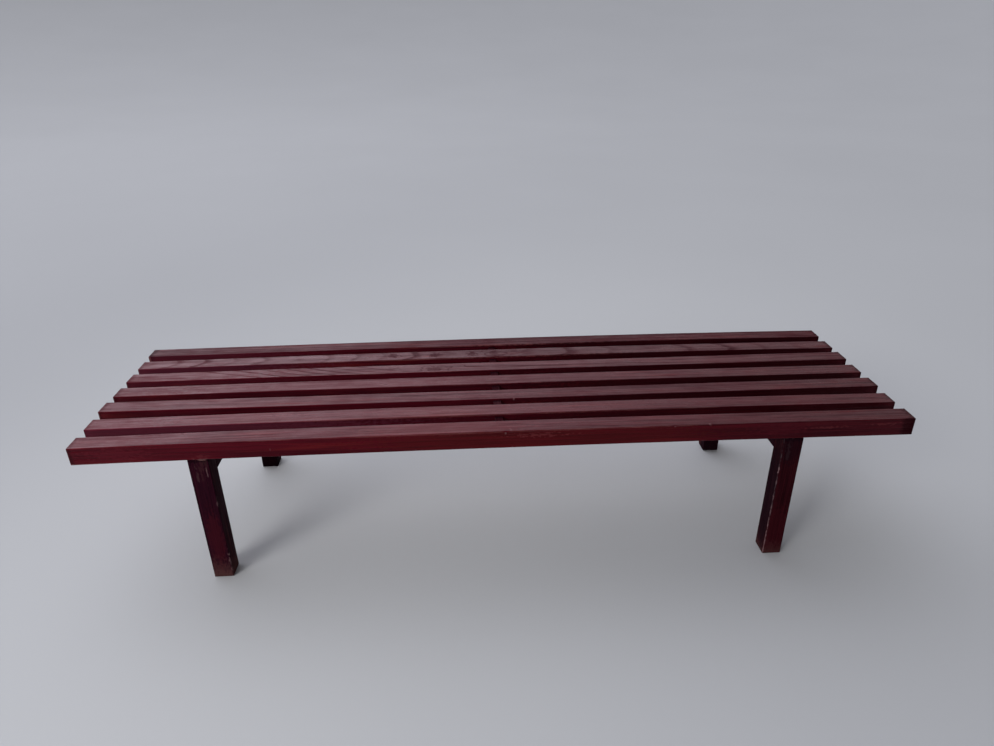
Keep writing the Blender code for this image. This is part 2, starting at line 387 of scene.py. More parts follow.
STAIN_STRIDE = (0.51, 0.27, 0.34)
FADED_PATCHES = ((5.0, 70.0, 70.0), 3.0, 0.54, 0.80)
PLAIN_FIGURE = 0.16
# What each mask does to the stain: how strongly it tints it and with what, how much rougher it makes
# it, and how far it raises it.
STAIN_TINTS = (
    ("End", 0.75, "Soaked"), ("Early", 0.80, "Soaked"), ("Pores", 0.70, "Soaked"), ("Arris", 0.70, "Bare"),
)
STAIN_ROUGHENING = (("Pores", 0.14), ("Streak", -0.26), ("Arris", 0.15), ("End", 0.12))
STAIN_RELIEF = (("Pores", -0.50), ("Early", -0.35), ("Streak", 0.50))
# The satin changes over the board in a broad bloom and a finer mottle, up and down by the same amount.
SATIN_CHANGES = (
    (((4.0, 16.0, 16.0), 2.0, 0.30, 0.70), 0.05),
    (((28.0, 70.0, 70.0), 2.0, 0.30, 0.70), 0.055),
)


def stain_group():
    """Lays the stain over the grain: colour, roughness and surface height."""
    tree, given, result = shader_group(
        "wine stain",
        {
            "Board": "Vector", "Early": "Float", "Pores": "Float", "Streak": "Float", "Arris": "Float",
            "End": "Float", "Seed": "Float", "Deep": "Color", "Stain": "Color", "Faded": "Color",
            "Soaked": "Color", "Bare": "Color", "Roughness": "Float", "Figure": "Float",
        },
        {"Color": "Color", "Roughness": "Float", "Height": "Float"},
    )
    tree.interface.items_tree["Figure"].default_value = PLAIN_FIGURE
    place = own_place(tree, given, STAIN_STRIDE)
    colour = tint(tree, given["Streak"], given["Deep"], given["Stain"])
    colour = tint(tree, patches(tree, place, FADED_PATCHES), colour, given["Faded"])
    for mask, strength, over in STAIN_TINTS:
        colour = tint(tree, maths(tree, "MULTIPLY", given[mask], strength), colour, given[over])
    roughness = maths(tree, "MULTIPLY_ADD", given["Early"], given["Figure"], given["Roughness"])
    for mask, rougher in STAIN_ROUGHENING:
        roughness = maths(tree, "MULTIPLY_ADD", given[mask], rougher, roughness)
    for pattern, change in SATIN_CHANGES:
        roughness = maths(tree, "ADD", roughness, patches(tree, place, pattern, -change, change))
    height = 1.0
    for mask, rise in STAIN_RELIEF:
        height = maths(tree, "MULTIPLY_ADD", given[mask], rise, height)
    tree.links.new(colour, result.inputs["Color"])
    tree.links.new(roughness, result.inputs["Roughness"])
    tree.links.new(height, result.inputs["Height"])
    return tree


def blank_material(name):
    """A material with nothing in it yet, its node tree, and the bench's own coordinates."""
    material = bpy.data.materials.new(name)
    material.use_nodes = True
    tree = material.node_tree
    tree.nodes.clear()
    return material, tree, node(tree, "ShaderNodeTexCoord", {}).outputs["Object"]


SHINE_TINT = (1.0, 0.05, 0.10, 1.0)
MARK_DULLING = 0.16
GRAIN_RELIEF = {"Strength": 0.9, "Distance": 0.0004}
board_grain = board_grain_group()
worn_edges = worn_edges_group()
scuff = scuff_group()
wine_stain = stain_group()


def stained_timber(name, box, turn, figure, stain, shine, wear, marks=()):
    """The finish of one board, whose grain runs along its own X once turn is taken off."""
    low, high = box
    to_board = Euler(turn).to_matrix().transposed()
    centre = (low + high) / 2
    half_size = Vector([abs(size) for size in to_board @ ((high - low) / 2)])
    material, tree, bench = blank_material(name)
    board = node(
        tree, "ShaderNodeMapping", {"Vector": bench, "Location": centre, "Rotation": turn},
        vector_type="TEXTURE",
    ).outputs[0]
    grain = node(tree, "ShaderNodeGroup", {"Board": board, **figure}, node_tree=board_grain).outputs
    edges = node(
        tree, "ShaderNodeGroup",
        {"Board": board, "Half Size": half_size, "Seed": figure["Seed"], **wear}, node_tree=worn_edges,
    ).outputs
    finish = node(
        tree, "ShaderNodeGroup",
        {
            "Board": board, "Early": grain["Early"], "Pores": grain["Pores"], "Streak": grain["Streak"],
            "Arris": edges["Arris"], "End": edges["End"], "Seed": figure["Seed"], **stain,
        },
        node_tree=wine_stain,
    ).outputs
    colour = finish["Color"]
    roughness = finish["Roughness"]
    for place, size, break_up, mark_colour, strength, *own_dulling in marks:
        local_place = to_board @ (Vector(place) - centre)
        local_size = Vector([abs(reach) for reach in to_board @ Vector(size)])
        mark = node(
            tree, "ShaderNodeGroup",
            {"Board": board, "Place": local_place, "Size": local_size, "Break": break_up}, node_tree=scuff,
        ).outputs["Mark"]
        share = maths(tree, "MULTIPLY", mark, strength)
        colour = tint(tree, share, colour, mark_colour)
        dulling = own_dulling[0] if own_dulling else MARK_DULLING
        roughness = maths(tree, "MULTIPLY_ADD", share, dulling, roughness)
    relief = node(tree, "ShaderNodeBump", {"Height": finish["Height"], **GRAIN_RELIEF}).outputs["Normal"]
    satin = node(
        tree, "ShaderNodeBsdfPrincipled",
        {
            "Base Color": colour, "Roughness": roughness, "Normal": relief,
            "Specular IOR Level": shine, "Specular Tint": SHINE_TINT,
        },
    )
    node(tree, "ShaderNodeOutputMaterial", {"Surface": satin.outputs[0]})
    return material


# The legs' stain is set darker than the slats' to stand for the shade under the seat: painted shade.
LEG_STAIN_AND_SHADE = {
    "Deep": (0.012, 0.0028, 0.0064, 1.0),
    "Stain": (0.032, 0.0052, 0.0115, 1.0),
    "Faded": (0.054, 0.0062, 0.0100, 1.0),
    "Soaked": (0.006, 0.0016, 0.0034, 1.0),
    "Bare": (0.170, 0.085, 0.078, 1.0),
    "Roughness": 0.67,
}
REDDER_LEG_STAIN_AND_SHADE = {
    **LEG_STAIN_AND_SHADE,
    "Deep": (0.015, 0.0026, 0.0044, 1.0),
    "Stain": (0.041, 0.0056, 0.0086, 1.0),
}
LEG_SHINE = 0.010
FOOT_RUBBED = (0.085, 0.036, 0.034, 1.0)
PALE_SCRAPE = (0.190, 0.110, 0.115, 1.0)
GREY_SCRAPE = (0.085, 0.060, 0.066, 1.0)
THIN_STAIN = (0.055, 0.0060, 0.0100, 1.0)
# The next two darken faces under the seat: the first is thicker stain that also serves as painted shade,
# the second is painted shade alone.
THICK_STAIN_AND_SHADE = (0.009, 0.0032, 0.0060, 1.0)
PAINTED_SHADE_BLACK = (0.003, 0.0008, 0.0016, 1.0)
UPRIGHT = (0.0, -math.pi / 2, 0.0)

LEG_WEAR_STEP = 1.7
LEG_FIRST_SEED = 1.0
LEG_RUN_OUT = (0.0, 0.02, -0.015)
LEG_RING_WIDTH = 0.0026
leg_piths = {
    "front_left": (0.0, 0.05, -0.06),
    "front_right": (0.0, 0.02, -0.04),
    "back_left": (0.0, -0.01, -0.02),
    "back_right": (0.0, -0.04, 0.0),
}
# Chips out of the arrises: which arris, height of the middle, half-length and depth.
leg_chips = {
    "front_left": [((1, -1), 0.053, 0.008, 0.0022), ((1, -1), 0.012, 0.030, 0.0008)],
    "front_right": [
        ((-1, -1), 0.195, 0.010, 0.0012), ((-1, -1), 0.171, 0.007, 0.0007),
        ((-1, -1), 0.134, 0.008, 0.0008), ((-1, -1), 0.108, 0.012, 0.0006),
    ],
    "back_left": [((-1, 1), 0.040, 0.010, 0.0012)],
    "back_right": [((1, 1), 0.150, 0.009, 0.0010)],
}
# Marks in the finish, some of them painted shade: place, half-sizes, how broken up, colour and strength.
leg_scrapes = {
    "front_left": [
        ((-0.5320, -0.2065, 0.095), (0.0160, 0.004, 0.080), 0.4, THIN_STAIN, 0.40),
        ((-0.5398, -0.2065, 0.236), (0.0011, 0.004, 0.011), 2.0, PALE_SCRAPE, 0.08),
        ((-0.5222, -0.2065, 0.236), (0.0011, 0.004, 0.009), 1.2, PALE_SCRAPE, 0.45),
        ((-0.5290, -0.2065, 0.246), (0.0060, 0.004, 0.016), 2.4, FOOT_RUBBED, 0.18),
        ((-0.5163, -0.2062, 0.172), (0.0014, 0.003, 0.012), 1.4, PALE_SCRAPE, 0.40),
        ((-0.5165, -0.2060, 0.053), (0.0024, 0.003, 0.004), 1.0, PALE_SCRAPE, 0.85),
        ((-0.5163, -0.2062, 0.025), (0.0014, 0.002, 0.026), 1.4, PALE_SCRAPE, 0.50),
    ],
    "front_right": [
        # The inner face is darkened: painted shade under the seat.
        ((0.5160, -0.1885, 0.130), (0.0040, 0.030, 0.170), 0.3, THICK_STAIN_AND_SHADE, 0.80),
        ((0.5345, -0.2065, 0.252), (0.0300, 0.004, 0.050), 0.3, THICK_STAIN_AND_SHADE, 0.60),
        ((0.5345, -0.2065, 0.050), (0.0300, 0.004, 0.080), 0.4, THIN_STAIN, 0.36),
        ((0.5274, -0.2065, 0.240), (0.0040, 0.004, 0.013), 2.4, GREY_SCRAPE, 0.12),
        ((0.5163, -0.2062, 0.150), (0.0012, 0.0012, 0.120), 0.9, GREY_SCRAPE, 0.55),
        ((0.5163, -0.2062, 0.030), (0.0014, 0.0014, 0.070), 0.9, PALE_SCRAPE, 0.70),
        ((0.5163, -0.2062, 0.195), (0.0020, 0.002, 0.008), 1.0, PALE_SCRAPE, 0.80),
        ((0.5163, -0.2062, 0.171), (0.0016, 0.002, 0.005), 1.0, PALE_SCRAPE, 0.38),
        ((0.5163, -0.2062, 0.134), (0.0016, 0.002, 0.006), 1.0, PALE_SCRAPE, 0.42),
        ((0.5163, -0.2062, 0.108), (0.0016, 0.002, 0.009), 1.0, PALE_SCRAPE, 0.36),
    ],
    # The lower front of each back leg, under the seat, is darkened almost to black: painted shade.
    "back_left": [
        ((-0.5300, 0.1730, 0.020), (0.0500, 0.026, 0.150), 0.3, PAINTED_SHADE_BLACK, 0.90),
        ((-0.5300, 0.2065, 0.150), (0.0025, 0.004, 0.030), 1.7, GREY_SCRAPE, 0.28),
    ],
    "back_right": [
        ((0.5300, 0.1730, 0.020), (0.0500, 0.026, 0.150), 0.3, THICK_STAIN_AND_SHADE, 0.85),
        ((0.5400, 0.2065, 0.060), (0.0025, 0.004, 0.020), 1.7, GREY_SCRAPE, 0.28),
    ],
}
# How high each foot is rubbed, and how strongly.
foot_rub = {
    "front_left": (0.024, 0.75),
    "front_right": (0.015, 0.75),
    "back_left": (0.024, 0.05),
    "back_right": (0.015, 0.25),
}
# The rub at a foot fades upwards: shares of its height and strength, one pass over the other.
FOOT_RUB_PASSES = ((2.4, 0.35), (1.5, 0.35), (0.8, 0.70))
FOOT_RUB_SPREAD = 0.060
FOOT_RUB_BREAK = 0.4
leg_worn_side = {
    "front_left": (0.0, -0.7, -0.7),
    "front_right": (0.0, -0.7, 0.7),
    "back_left": (0.0, 0.7, 0.7),
    "back_right": (0.0, 0.7, -0.7),
}
for number, corner in enumerate(leg_chips):
    leg_node = "leg_" + corner
    low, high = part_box(leg_node)
    post = planed_timber(low, high, ALONG_Z, LEG_ARRIS, LEG_RING_STEP)
    wear_arrises(post, low, high, ALONG_Z, LEG_ARRIS, LEG_WEAR_STEP * number, leg_chips[corner])
    foot = Vector(((low.x + high.x) / 2, (low.y + high.y) / 2, low.z))
    side = corner.split("_")[1]
    rub_height, rub_strength = foot_rub[corner]
    foot_rubs = []
    for height_share, strength_share in FOOT_RUB_PASSES:
        foot_reach = (FOOT_RUB_SPREAD, FOOT_RUB_SPREAD, rub_height * height_share)
        strength = rub_strength * strength_share
        foot_rubs.append((foot, foot_reach, FOOT_RUB_BREAK, FOOT_RUBBED, strength))
    finish = stained_timber(
        "leg_stain_and_shade_" + corner, (low, high), UPRIGHT,
        {
            "Pith": leg_piths[corner], "Run Out": LEG_RUN_OUT, "Ring Width": LEG_RING_WIDTH,
            "Seed": LEG_FIRST_SEED + number,
        },
        REDDER_LEG_STAIN_AND_SHADE if side == "right" else LEG_STAIN_AND_SHADE, LEG_SHINE,
        {"Worn Side": leg_worn_side[corner], "Reach": LEG_WEAR_REACH},
        foot_rubs + leg_scrapes[corner],
    )
    dowels = [f"leg_dowel_{corner}_outer", f"leg_dowel_{corner}_inner"]
    leg = finished_board("worn_leg_" + corner, post, ["cross_rail_" + side] + dowels, finish)
    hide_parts(leg_node)


# Cross rails
# Two short rails under the slats, one between each pair of legs, tenoned into them front and back.
# Same stained hardwood as the legs, with their painted shade, less rubbed, with counterbores underneath
# for the slat screws.
CROSSWISE = (0.0, 0.0, math.pi / 2)
RAIL_STAIN_AND_SHADE = {**LEG_STAIN_AND_SHADE, "Roughness": 0.63}
RAIL_WEAR = {"Worn Side": (0.0, 0.0, -1.0), "Reach": 0.0012}
RAIL_FIRST_SEED = 5.0
RAIL_RUN_OUT = (0.0, 0.01, 0.02)
RAIL_RING_WIDTH = 0.0028
rail_piths = {"left": (0.0, 0.02, -0.05), "right": (0.0, -0.03, -0.05)}
for number, side in enumerate(rail_piths):
    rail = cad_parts["cross_rail_" + side]
    finish = stained_timber(
        "rail_stain_and_shade_" + side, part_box("cross_rail_" + side), CROSSWISE,
        {
            "Pith": rail_piths[side], "Run Out": RAIL_RUN_OUT, "Ring Width": RAIL_RING_WIDTH,
            "Seed": RAIL_FIRST_SEED + number,
        },
        RAIL_STAIN_AND_SHADE, LEG_SHINE, RAIL_WEAR,
    )
    rail.material_slots[0].material = finish


# Leg dowels and tie dowel
# Plain beech dowels, glued and hidden: two in the top of each leg, and one long one that runs from
# the front slat to the back slat through the spacer blocks.
BEECH_LIGHT = (0.460, 0.300, 0.170, 1.0)
BEECH_DARK = (0.300, 0.180, 0.095, 1.0)
BEECH_FLECK = (0.230, 0.125, 0.060, 1.0)
BEECH_FIBRES = ((12.0, 700.0, 700.0), 2.0, 0.30, 0.70)
BEECH_FLECKS = ((140.0, 1600.0, 1600.0), 0.0, 0.62, 0.72)
BEECH_RELIEF = {"Strength": 0.3, "Distance": 0.0002}
BEECH_DULL, BEECH_SMOOTH = 0.78, 0.62


def plain_beech(name, turn):
    """Unfinished dowel beech: straight fine fibres with short brown flecks."""
    material, tree, bench = blank_material(name)
    rod = node(
        tree, "ShaderNodeMapping", {"Vector": bench, "Rotation": turn}, vector_type="TEXTURE",
    ).outputs[0]
    fibre = patches(tree, rod, BEECH_FIBRES)
    fleck = patches(tree, rod, BEECH_FLECKS)
    colour = tint(tree, fibre, BEECH_DARK, BEECH_LIGHT)
    colour = tint(tree, fleck, colour, BEECH_FLECK)
    roughness = fade(tree, fibre, 0.0, 1.0, BEECH_DULL, BEECH_SMOOTH)
    relief = node(tree, "ShaderNodeBump", {"Height": fibre, **BEECH_RELIEF}).outputs["Normal"]
    raw_wood = node(
        tree, "ShaderNodeBsdfPrincipled", {"Base Color": colour, "Roughness": roughness, "Normal": relief},
    )
    node(tree, "ShaderNodeOutputMaterial", {"Surface": raw_wood.outputs[0]})
    return material


upright_beech = plain_beech("leg_dowel_beech", UPRIGHT)
for name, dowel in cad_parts.items():
    if name.startswith("leg_dowel_"):
        dowel.material_slots[0].material = upright_beech
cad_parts["tie_dowel"].material_slots[0].material = plain_beech("tie_dowel_beech", CROSSWISE)


# Seat slats
# Seven square-edged boards of the same hardwood, planed, eased and stained dark wine, satin on top.
# The outer two sit on the leg dowels and screws hold the inner five. All have bowed a little with age.
SLAT_ARRIS = 0.0011
SLAT_RING_STEP = 0.003
SLAT_COUNT = 7
SLAT_WEAR = {"Worn Side": (0.0, 0.0, 1.0), "Reach": 0.0012}
SLAT_WEAR_STEP = 0.9
SLAT_FIRST_SEED = 7.0
LENGTHWISE = (0.0, 0.0, 0.0)
SLAT_STAIN = {
    "Deep": (0.016, 0.0012, 0.0036, 1.0),
    "Stain": (0.070, 0.0032, 0.0084, 1.0),
    "Faded": (0.088, 0.0068, 0.0084, 1.0),
    "Soaked": (0.007, 0.0010, 0.0024, 1.0),
    "Bare": (0.170, 0.072, 0.068, 1.0),
}
SLAT_SHINE = (0.42, 0.46, 0.40, 0.42, 0.42, 0.41, 0.30)
SLAT_ROUGHNESS = (0.51, 0.49, 0.53, 0.51, 0.515, 0.50, 0.71)
RUBBED_RED = (0.140, 0.030, 0.032, 1.0)
BROWNED = (0.050, 0.0080, 0.0045, 1.0)
# A near-black colour for stain soaked into end grain, used also as painted shade on the faces in the gaps.
SOAKED_END_AND_SHADE = (0.004, 0.0005, 0.0014, 1.0)
PALE_NICK = (0.200, 0.115, 0.120, 1.0)
KNOT_SMUDGE = (0.016, 0.0020, 0.0046, 1.0)
KNOT_DULLING = 0.35
FIGURED_SLATS = (5, 6)
BOLD_FIGURE = 0.33
# A deep tone for the tops that also serves as painted shade on a face in a gap.
DEEP_TONE_AND_SHADE = (0.010, 0.0020, 0.0042, 1.0)
DULLED_STAIN = (0.062, 0.0030, 0.0075, 1.0)
# A mauve laid over the faces in the gaps from the left end: a painted reflection of the bright sky.
PAINTED_SKY_SHEEN = (0.085, 0.019, 0.035, 1.0)
RUBBED_THIN = (0.105, 0.010, 0.018, 1.0)

# How far each slat's left and right ends were cut past the nominal length, front slat first.
end_overcut = (
    (0.0015, 0.0028), (0.0, 0.0), (0.0020, 0.0005), (0.0013, -0.0005), (0.0015, -0.0005),
    (0.0027, 0.0), (0.0044, -0.0015),
)
# How far the left and right ends of each slat hang below its middle, front slat first.
end_droop = (
    (0.0048, 0.0028), (0.0026, 0.0046), (-0.0009, 0.0), (0.0026, 0.0018), (0.0031, 0.0),
    (0.0037, 0.0050), (0.0022, 0.0052),
)
# Where each slat was cut from its log, front slat first: pith across and up, how the grain runs out
# across and up along the board, and the width of a ring.
slat_figures = (
    ((0.0, 0.070, -0.060), (0.0, 0.004, 0.008), 0.0023),
    ((0.0, -0.090, -0.030), (0.0, -0.006, 0.004), 0.0026),
    ((0.0, 0.050, -0.080), (0.0, 0.003, -0.010), 0.0024),
    ((0.0, -0.070, -0.050), (0.0, 0.005, 0.006), 0.0025),
    ((0.0, 0.100, -0.300), (0.0, 0.006, 0.004), 0.0050),
    ((0.0, 0.002, -0.150), (0.0, -0.006, -0.060), 0.0046),
    ((0.0, 0.090, -0.040), (0.0, 0.004, 0.005), 0.0024),
)
slat_sweeps = {5: {"Sweep": (0.0, 0.0, 0.056), "Sweep Start": -0.78, "Sweep End": -0.06}}
slat_knots = {5: (-0.118, 0.001, 0.017), 6: (0.002, -0.003, 0.017)}
# The tone of each slat's top changes along it: place along, half-length, colour and strength. Such a
# mark lies a little over the top, wide enough for the whole board and too shallow for its sides.
TONE_CLEARANCE = 0.004
TONE_HALF_WIDTH = 0.060
TONE_HALF_DEPTH = 0.008
TONE_BREAK = 0.4
slat_toning = {
    1: [(-0.75, 0.22, DULLED_STAIN, 0.55), (0.75, 0.33, DEEP_TONE_AND_SHADE, 0.30)],
    2: [(-0.75, 0.22, DULLED_STAIN, 0.65), (-0.49, 0.15, RUBBED_RED, 0.22)],
    3: [(-0.75, 0.22, DULLED_STAIN, 0.35), (0.35, 0.60, DEEP_TONE_AND_SHADE, 0.34)],
    4: [(-0.75, 0.22, DULLED_STAIN, 0.45), (-0.40, 0.53, DULLED_STAIN, 0.42)],
    5: [(-0.75, 0.42, DULLED_STAIN, 0.75), (0.72, 0.25, DEEP_TONE_AND_SHADE, 0.20)],
    6: [(-0.75, 0.22, DULLED_STAIN, 0.55), (0.20, 0.78, DEEP_TONE_AND_SHADE, 0.42)],
    7: [(0.22, 0.42, DEEP_TONE_AND_SHADE, 0.40)],
}
# The front faces in the gaps are darkened towards the right with painted shade, each with its own
# strength, and some carry a painted sky reflection from the left end on: half-length and strength.
GAP_MARK_DEPTH = 0.004
GAP_MARK_HEIGHT = 0.040
GAP_MARK_BREAK = 0.3
SHADE_PLACE = 0.45
SHADE_HALF_LENGTH = 0.55
SHEEN_PAST_END = 0.05
gap_face_shade = {2: 0.50, 3: 0.65, 4: 0.78, 5: 0.70, 6: 0.75, 7: 0.75}
gap_face_sheen = {2: (0.78, 0.52), 5: (0.50, 0.20), 6: (0.55, 0.50), 7: (0.50, 0.32)}
# Chips and marks as on the legs. A knot's smudge is duller than other marks, so it gives its own
# dulling last.
slat_chips = {
    1: [
        ((-1, 1), 0.009, 0.009, 0.0016), ((-1, 1), 0.3105, 0.005, 0.0012),
        ((-1, 1), 0.3748, 0.005, 0.0012), ((-1, -1), -0.522, 0.012, 0.0009),
    ],
    3: [((-1, 1), 0.032, 0.006, 0.0014)],
}
slat_scrapes = {
    1: [
        ((0.7430, -0.2065, 0.2830), (0.0165, 0.003, 0.200), 0.2, SOAKED_END_AND_SHADE, 0.95),
        ((0.7460, -0.2065, 0.2830), (0.0165, 0.003, 0.200), 0.2, SOAKED_END_AND_SHADE, 0.90),
        ((-0.100, -0.1880, 0.3010), (0.190, 0.030, 0.006), 0.4, RUBBED_RED, 0.26),
        ((0.060, -0.2065, 0.2830), (0.420, 0.004, 0.0300), 0.4, BROWNED, 0.38),
        ((0.640, -0.2065, 0.2830), (0.220, 0.004, 0.0500), 0.3, DEEP_TONE_AND_SHADE, 0.30),
        ((0.070, -0.2065, 0.2920), (0.040, 0.004, 0.0030), 2.2, RUBBED_RED, 0.45),
        ((0.594, -0.2065, 0.2860), (0.030, 0.004, 0.0020), 1.8, RUBBED_RED, 0.40),
        ((0.700, -0.2065, 0.2890), (0.024, 0.004, 0.0020), 1.8, RUBBED_RED, 0.40),
        ((-0.665, -0.2065, 0.2830), (0.070, 0.004, 0.0110), 0.8, RUBBED_THIN, 0.32),
        ((0.504, -0.2065, 0.2865), (0.060, 0.004, 0.0110), 0.8, RUBBED_THIN, 0.24),
        ((-0.528, -0.2065, 0.2718), (0.010, 0.004, 0.0060), 2.2, RUBBED_RED, 0.24),
        ((-0.405, -0.2065, 0.2811), (0.0012, 0.003, 0.0034), 0.4, PALE_NICK, 0.18),
        ((-0.524, -0.2062, 0.2664), (0.013, 0.002, 0.0010), 1.6, PALE_NICK, 0.55),
        ((0.3105, -0.2050, 0.2995), (0.0024, 0.003, 0.0014), 1.6, PALE_NICK, 0.45),
        ((0.3748, -0.2045, 0.2995), (0.0024, 0.003, 0.0014), 1.6, PALE_NICK, 0.45),
        ((0.0090, -0.2064, 0.2980), (0.0022, 0.003, 0.0040), 0.5, PALE_NICK, 0.34),
        ((0.0180, -0.2010, 0.3015), (0.0024, 0.006, 0.003), 0.5, PALE_NICK, 0.24),
    ],
    2: [((-0.100, -0.1250, 0.3010), (0.170, 0.030, 0.006), 0.4, RUBBED_RED, 0.20)],
    3: [((0.032, -0.0815, 0.2985), (0.0018, 0.003, 0.0034), 0.6, PALE_NICK, 0.40)],
    # This slat's front face, in a gap, is darkened in the middle: painted shade.
    4: [((-0.250, -0.0190, 0.2830), (0.600, 0.004, 0.0400), 0.3, DEEP_TONE_AND_SHADE, 0.30)],
    5: [
        ((-0.2100, 0.0640, 0.3010), (0.016, 0.006, 0.004), 1.2, KNOT_SMUDGE, 0.40, KNOT_DULLING),
        ((-0.1210, 0.0600, 0.3010), (0.017, 0.013, 0.004), 1.2, KNOT_SMUDGE, 0.55, KNOT_DULLING),
    ],
    6: [
        ((-0.2133, 0.1260, 0.3015), (0.014, 0.012, 0.004), 0.9, KNOT_SMUDGE, 0.75, KNOT_DULLING),
        ((-0.1618, 0.1210, 0.3015), (0.010, 0.010, 0.004), 0.9, KNOT_SMUDGE, 0.12, KNOT_DULLING),
        ((-0.1425, 0.1190, 0.3015), (0.009, 0.006, 0.004), 1.0, RUBBED_RED, 0.30),
        ((-0.1234, 0.1230, 0.3015), (0.014, 0.014, 0.004), 0.8, KNOT_SMUDGE, 0.80, KNOT_DULLING),
        ((-0.0452, 0.1235, 0.3015), (0.013, 0.014, 0.004), 0.8, KNOT_SMUDGE, 0.65, KNOT_DULLING),
        ((0.0039, 0.1235, 0.3015), (0.011, 0.016, 0.004), 0.7, KNOT_SMUDGE, 0.60, KNOT_DULLING),
    ],
}

bearing = (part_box("leg_front_right")[0].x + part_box("leg_front_right")[1].x) / 2


def bow_at(along, half_length, droop_left, droop_right):
    """How far a board's shallow arch lifts it at one place: it keeps its height over both bearings."""
    share = (bearing / half_length) ** 2
    rise = share * (droop_left + droop_right) / 2
    tilt = share * (droop_right - droop_left) / (2 * bearing)
    droop = droop_right if along > 0 else droop_left
    return rise + tilt * along - droop * (along / half_length) ** 2


for number in range(1, SLAT_COUNT + 1):
    slat_node = f"seat_slat_{number}"
    low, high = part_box(slat_node)
    left_overcut, right_overcut = end_overcut[number - 1]
    cut_low = low - Vector((left_overcut, 0.0, 0.0))
    cut_high = high + Vector((right_overcut, 0.0, 0.0))
    timber = planed_timber(cut_low, cut_high, ALONG_X, SLAT_ARRIS, SLAT_RING_STEP)
    chips = slat_chips.get(number, [])
    wear_arrises(timber, low, high, ALONG_X, SLAT_ARRIS, SLAT_WEAR_STEP * number, chips)
    droop = end_droop[number - 1]
    for vert in timber.verts:
        vert.co.z += bow_at(vert.co.x, high.x, *droop)
    pith, run_out, ring_width = slat_figures[number - 1]
    centre = (low + high) / 2
    toning = []
    for along, reach, tone, strength in slat_toning[number]:
        place = (along, centre.y, high.z + bow_at(along, high.x, *droop) + TONE_CLEARANCE)
        size = (reach, TONE_HALF_WIDTH, TONE_HALF_DEPTH)
        toning.append((place, size, TONE_BREAK, tone, strength))
    # Painted shade: the gap face darkens towards the right.
    if number in gap_face_shade:
        place = (SHADE_PLACE, low.y, centre.z)
        size = (SHADE_HALF_LENGTH, GAP_MARK_DEPTH, GAP_MARK_HEIGHT)
        toning.append((place, size, GAP_MARK_BREAK, SOAKED_END_AND_SHADE, gap_face_shade[number]))
    # Painted reflection: a mauve sheen over the gap face from the left end.
    if number in gap_face_sheen:
        reach, strength = gap_face_sheen[number]
        place = (low.x - SHEEN_PAST_END, low.y, centre.z)
        size = (reach, GAP_MARK_DEPTH, GAP_MARK_HEIGHT)
        toning.append((place, size, GAP_MARK_BREAK, PAINTED_SKY_SHEEN, strength))
    finish = stained_timber(
        f"slat_stain_{number}", (low, high), LENGTHWISE,
        {
            "Pith": pith, "Run Out": run_out, "Ring Width": ring_width,
            "Seed": SLAT_FIRST_SEED + number, "Knot": slat_knots.get(number, NO_KNOT),
            **slat_sweeps.get(number, {}),
        },
        {
            **SLAT_STAIN, "Roughness": SLAT_ROUGHNESS[number - 1],
            "Figure": BOLD_FIGURE if number in FIGURED_SLATS else PLAIN_FIGURE,
        },
        SLAT_SHINE[number - 1], SLAT_WEAR, toning + slat_scrapes.get(number, []),
    )
    if number in (1, SLAT_COUNT):
        row = "front" if number == 1 else "back"
        fixings = [
            f"leg_dowel_{row}_{side}_{which}" for side in ("left", "right") for which in ("outer", "inner")
        ]
    else:
        fixings = [f"rail_screw_{side}_{number - 1}" for side in ("left", "right")]
    slat = finished_board(f"planed_slat_{number}", timber, ["tie_dowel"] + fixings, finish)
    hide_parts(slat_node)


# Spacer blocks
# Six small offcuts of the same hardwood on the tie dowel, one in each gap at mid-length, set just
# below the tops of the slats. They were stained in place, so their end grain is dusty and dull.
SPACER_ARRIS = 0.0007
SPACER_RING_STEP = 0.0015
SPACER_STAIN = {
    "Deep": (0.016, 0.0024, 0.0044, 1.0),
    "Stain": (0.030, 0.0050, 0.0080, 1.0),
    "Faded": (0.042, 0.0110, 0.0140, 1.0),
    "Soaked": (0.009, 0.0018, 0.0032, 1.0),
    "Bare": (0.060, 0.024, 0.024, 1.0),
    "Roughness": 0.87,
}
DUSTY_SPACER_STAIN = {
    **SPACER_STAIN,
    "Deep": (0.026, 0.0065, 0.0090, 1.0),
    "Stain": (0.050, 0.0130, 0.0170, 1.0),
}
DUSTY_SPACER = 2
SPACER_SHINE = 0.01
SPACER_WEAR_STEP = 2.3
SPACER_FIRST_SEED = 15.0
SPACER_PITH_STEP = 0.012
SPACER_PITH_START = -0.04
SPACER_PITH_DROP = -0.03
SPACER_RUN_OUT = (0.0, 0.01, 0.01)
SPACER_RING_WIDTH = 0.0024
for number in range(1, SLAT_COUNT):
    spacer_node = f"gap_spacer_{number}"
    low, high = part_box(spacer_node)
    offcut = planed_timber(low, high, ALONG_Y, SPACER_ARRIS, SPACER_RING_STEP)
    wear_arrises(offcut, low, high, ALONG_Y, SPACER_ARRIS, SPACER_WEAR_STEP * number, [])
    finish = stained_timber(
        f"spacer_stain_{number}", (low, high), CROSSWISE,
        {
            "Pith": (0.0, SPACER_PITH_STEP * number + SPACER_PITH_START, SPACER_PITH_DROP),
            "Run Out": SPACER_RUN_OUT, "Ring Width": SPACER_RING_WIDTH,
            "Seed": SPACER_FIRST_SEED + number,
        },
        DUSTY_SPACER_STAIN if number == DUSTY_SPACER else SPACER_STAIN, SPACER_SHINE, SLAT_WEAR,
    )
    spacer = finished_board(f"spacer_block_{number}", offcut, ["tie_dowel"], finish)
    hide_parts(spacer_node)


